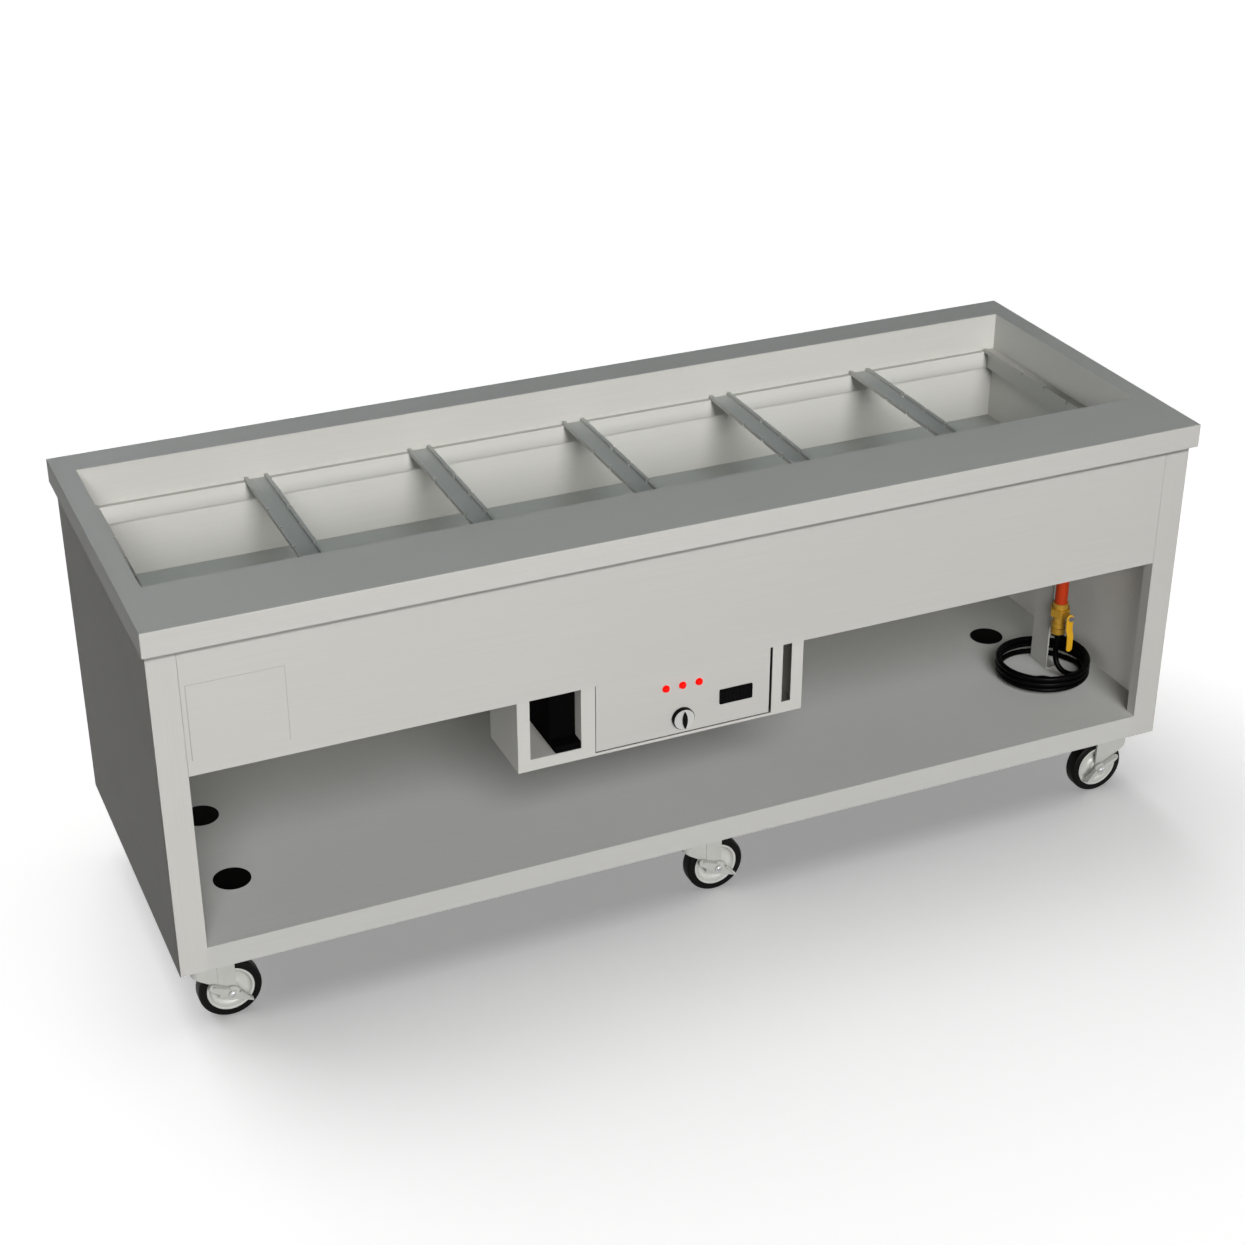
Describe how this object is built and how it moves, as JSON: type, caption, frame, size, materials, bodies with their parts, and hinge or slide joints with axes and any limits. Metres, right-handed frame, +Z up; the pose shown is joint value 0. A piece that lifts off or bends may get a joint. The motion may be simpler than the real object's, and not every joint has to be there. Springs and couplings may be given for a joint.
{
  "type": "hot and cold serving counter",
  "caption": "Mobile stainless serving counter with a long heated and chilled well divided for pans by lift-off bars, open undershelf, control box, drain valve and hose.",
  "frame": {"origin": "on the floor under the middle of the countertop", "axes": "+X along the counter's length to the drain end, -Y to the operator's side, +Z up"},
  "size_m": [2.2352, 0.804, 0.9144],
  "materials": {
    "stainless": "fine brushed",
    "galvanised": "galvanised",
    "zinc": "zinc plated",
    "chrome": "polished",
    "copper": "drawn copper tube",
    "brass": "machined brass",
    "lever_yellow": "yellow coated steel",
    "wheel_metal": "satin",
    "tyre": "matt rubber",
    "hose_black": "smooth black",
    "black_plastic": "matt black",
    "knob_black": "gloss black with a metal face",
    "display_black": "gloss black",
    "red_lens": "translucent red",
    "filter_black": "open-cell black",
    "element_sheath": "heat-darkened",
    "insulation": "mineral wool blanket"
  },
  "bodies": {
    "counter": {"countertop": "stainless", "left_end_panel": "stainless", "right_end_panel": "stainless", "left_front_post": "stainless", "right_front_post": "stainless", "front_apron": "stainless", "access_cover": "stainless", "back_panel": "stainless", "undershelf": "stainless", "shelf_hole_plugs": "black_plastic", "caster_channels": "galvanised", "shelf_post": "stainless", "well_liner": "stainless", "well_insulation": "insulation", "well_jacket": "galvanised", "pan_ledge_rails": "stainless", "heating_element": "element_sheath", "evaporator_tube": "copper", "drain_fitting": "stainless", "drain_pipe": "copper", "valve_body": "brass", "control_box": "stainless", "control_panel": "stainless", "pilot_lights": "red_lens", "display_module": "display_black", "thermostat_body": "black_plastic", "intake_filter": "filter_black", "caster_plates": "zinc", "drain_hose": "hose_black", "drain_hose_coil": "hose_black", "hose_coupling": "black_plastic"},
    "adapter_bar_1": {"adapter_bar_1": "stainless"},
    "adapter_bar_2": {"adapter_bar_2": "stainless"},
    "adapter_bar_3": {"adapter_bar_3": "stainless"},
    "adapter_bar_4": {"adapter_bar_4": "stainless"},
    "adapter_bar_5": {"adapter_bar_5": "stainless"},
    "thermostat_knob": {"thermostat_knob": "knob_black"},
    "valve_handle": {"valve_lever": "lever_yellow", "valve_ball": "chrome"},
    "fork_front_left": {"caster_fork_front_left": "zinc"},
    "wheel_front_left": {"caster_wheel_front_left": "wheel_metal", "caster_tyre_front_left": "tyre"},
    "pedal_front_left": {"brake_pedal_front_left": "zinc"},
    "fork_front_center": {"caster_fork_front_center": "zinc"},
    "wheel_front_center": {"caster_wheel_front_center": "wheel_metal", "caster_tyre_front_center": "tyre"},
    "pedal_front_center": {"brake_pedal_front_center": "zinc"},
    "fork_front_right": {"caster_fork_front_right": "zinc"},
    "wheel_front_right": {"caster_wheel_front_right": "wheel_metal", "caster_tyre_front_right": "tyre"},
    "pedal_front_right": {"brake_pedal_front_right": "zinc"},
    "fork_rear_left": {"caster_fork_rear_left": "zinc"},
    "wheel_rear_left": {"caster_wheel_rear_left": "wheel_metal", "caster_tyre_rear_left": "tyre"},
    "fork_rear_center": {"caster_fork_rear_center": "zinc"},
    "wheel_rear_center": {"caster_wheel_rear_center": "wheel_metal", "caster_tyre_rear_center": "tyre"},
    "fork_rear_right": {"caster_fork_rear_right": "zinc"},
    "wheel_rear_right": {"caster_wheel_rear_right": "wheel_metal", "caster_tyre_rear_right": "tyre"}
  },
  "joints": [
    {"name": "adapter_bar_1_lift", "type": "slide", "parent": "counter", "child": "adapter_bar_1", "axis": [0, 0, 1], "range_m": [0, 0.15]},
    {"name": "adapter_bar_2_lift", "type": "slide", "parent": "counter", "child": "adapter_bar_2", "axis": [0, 0, 1], "range_m": [0, 0.15]},
    {"name": "adapter_bar_3_lift", "type": "slide", "parent": "counter", "child": "adapter_bar_3", "axis": [0, 0, 1], "range_m": [0, 0.15]},
    {"name": "adapter_bar_4_lift", "type": "slide", "parent": "counter", "child": "adapter_bar_4", "axis": [0, 0, 1], "range_m": [0, 0.15]},
    {"name": "adapter_bar_5_lift", "type": "slide", "parent": "counter", "child": "adapter_bar_5", "axis": [0, 0, 1], "range_m": [0, 0.15]},
    {"name": "thermostat_knob_turn", "type": "hinge", "parent": "counter", "child": "thermostat_knob", "pos_m": [-0.0503, -0.357, 0.464], "axis": [0, 1, 0], "range_deg": [0, 300]},
    {"name": "valve_handle_turn", "type": "hinge", "parent": "counter", "child": "valve_handle", "pos_m": [0.9912, -0.19, 0.3807], "axis": [0, 1, 0], "range_deg": [0, 90]},
    {"name": "swivel_front_left", "type": "hinge", "parent": "counter", "child": "fork_front_left", "pos_m": [-1.052, -0.316, 0.142], "axis": [0, 0, 1], "continuous": true},
    {"name": "spin_front_left", "type": "hinge", "parent": "fork_front_left", "child": "wheel_front_left", "pos_m": [-1.007, -0.316, 0.0635], "axis": [0, 1, 0], "continuous": true},
    {"name": "pedal_front_left_press", "type": "hinge", "parent": "fork_front_left", "child": "pedal_front_left", "pos_m": [-1.007, -0.345, 0.0635], "axis": [0, -1, 0], "range_deg": [0, 25]},
    {"name": "swivel_front_center", "type": "hinge", "parent": "counter", "child": "fork_front_center", "pos_m": [0, -0.316, 0.142], "axis": [0, 0, 1], "continuous": true},
    {"name": "spin_front_center", "type": "hinge", "parent": "fork_front_center", "child": "wheel_front_center", "pos_m": [0.045, -0.316, 0.0635], "axis": [0, 1, 0], "continuous": true},
    {"name": "pedal_front_center_press", "type": "hinge", "parent": "fork_front_center", "child": "pedal_front_center", "pos_m": [0.045, -0.345, 0.0635], "axis": [0, -1, 0], "range_deg": [0, 25]},
    {"name": "swivel_front_right", "type": "hinge", "parent": "counter", "child": "fork_front_right", "pos_m": [1.052, -0.316, 0.142], "axis": [0, 0, 1], "continuous": true},
    {"name": "spin_front_right", "type": "hinge", "parent": "fork_front_right", "child": "wheel_front_right", "pos_m": [1.007, -0.316, 0.0635], "axis": [0, 1, 0], "continuous": true},
    {"name": "pedal_front_right_press", "type": "hinge", "parent": "fork_front_right", "child": "pedal_front_right", "pos_m": [1.007, -0.345, 0.0635], "axis": [0, 1, 0], "range_deg": [0, 25]},
    {"name": "swivel_rear_left", "type": "hinge", "parent": "counter", "child": "fork_rear_left", "pos_m": [-1.052, 0.2948, 0.142], "axis": [0, 0, 1], "continuous": true},
    {"name": "spin_rear_left", "type": "hinge", "parent": "fork_rear_left", "child": "wheel_rear_left", "pos_m": [-1.007, 0.2948, 0.0635], "axis": [0, 1, 0], "continuous": true},
    {"name": "swivel_rear_center", "type": "hinge", "parent": "counter", "child": "fork_rear_center", "pos_m": [0, 0.2948, 0.142], "axis": [0, 0, 1], "continuous": true},
    {"name": "spin_rear_center", "type": "hinge", "parent": "fork_rear_center", "child": "wheel_rear_center", "pos_m": [0.045, 0.2948, 0.0635], "axis": [0, 1, 0], "continuous": true},
    {"name": "swivel_rear_right", "type": "hinge", "parent": "counter", "child": "fork_rear_right", "pos_m": [1.052, 0.2948, 0.142], "axis": [0, 0, 1], "continuous": true},
    {"name": "spin_rear_right", "type": "hinge", "parent": "fork_rear_right", "child": "wheel_rear_right", "pos_m": [1.007, 0.2948, 0.0635], "axis": [0, 1, 0], "continuous": true}
  ]
}
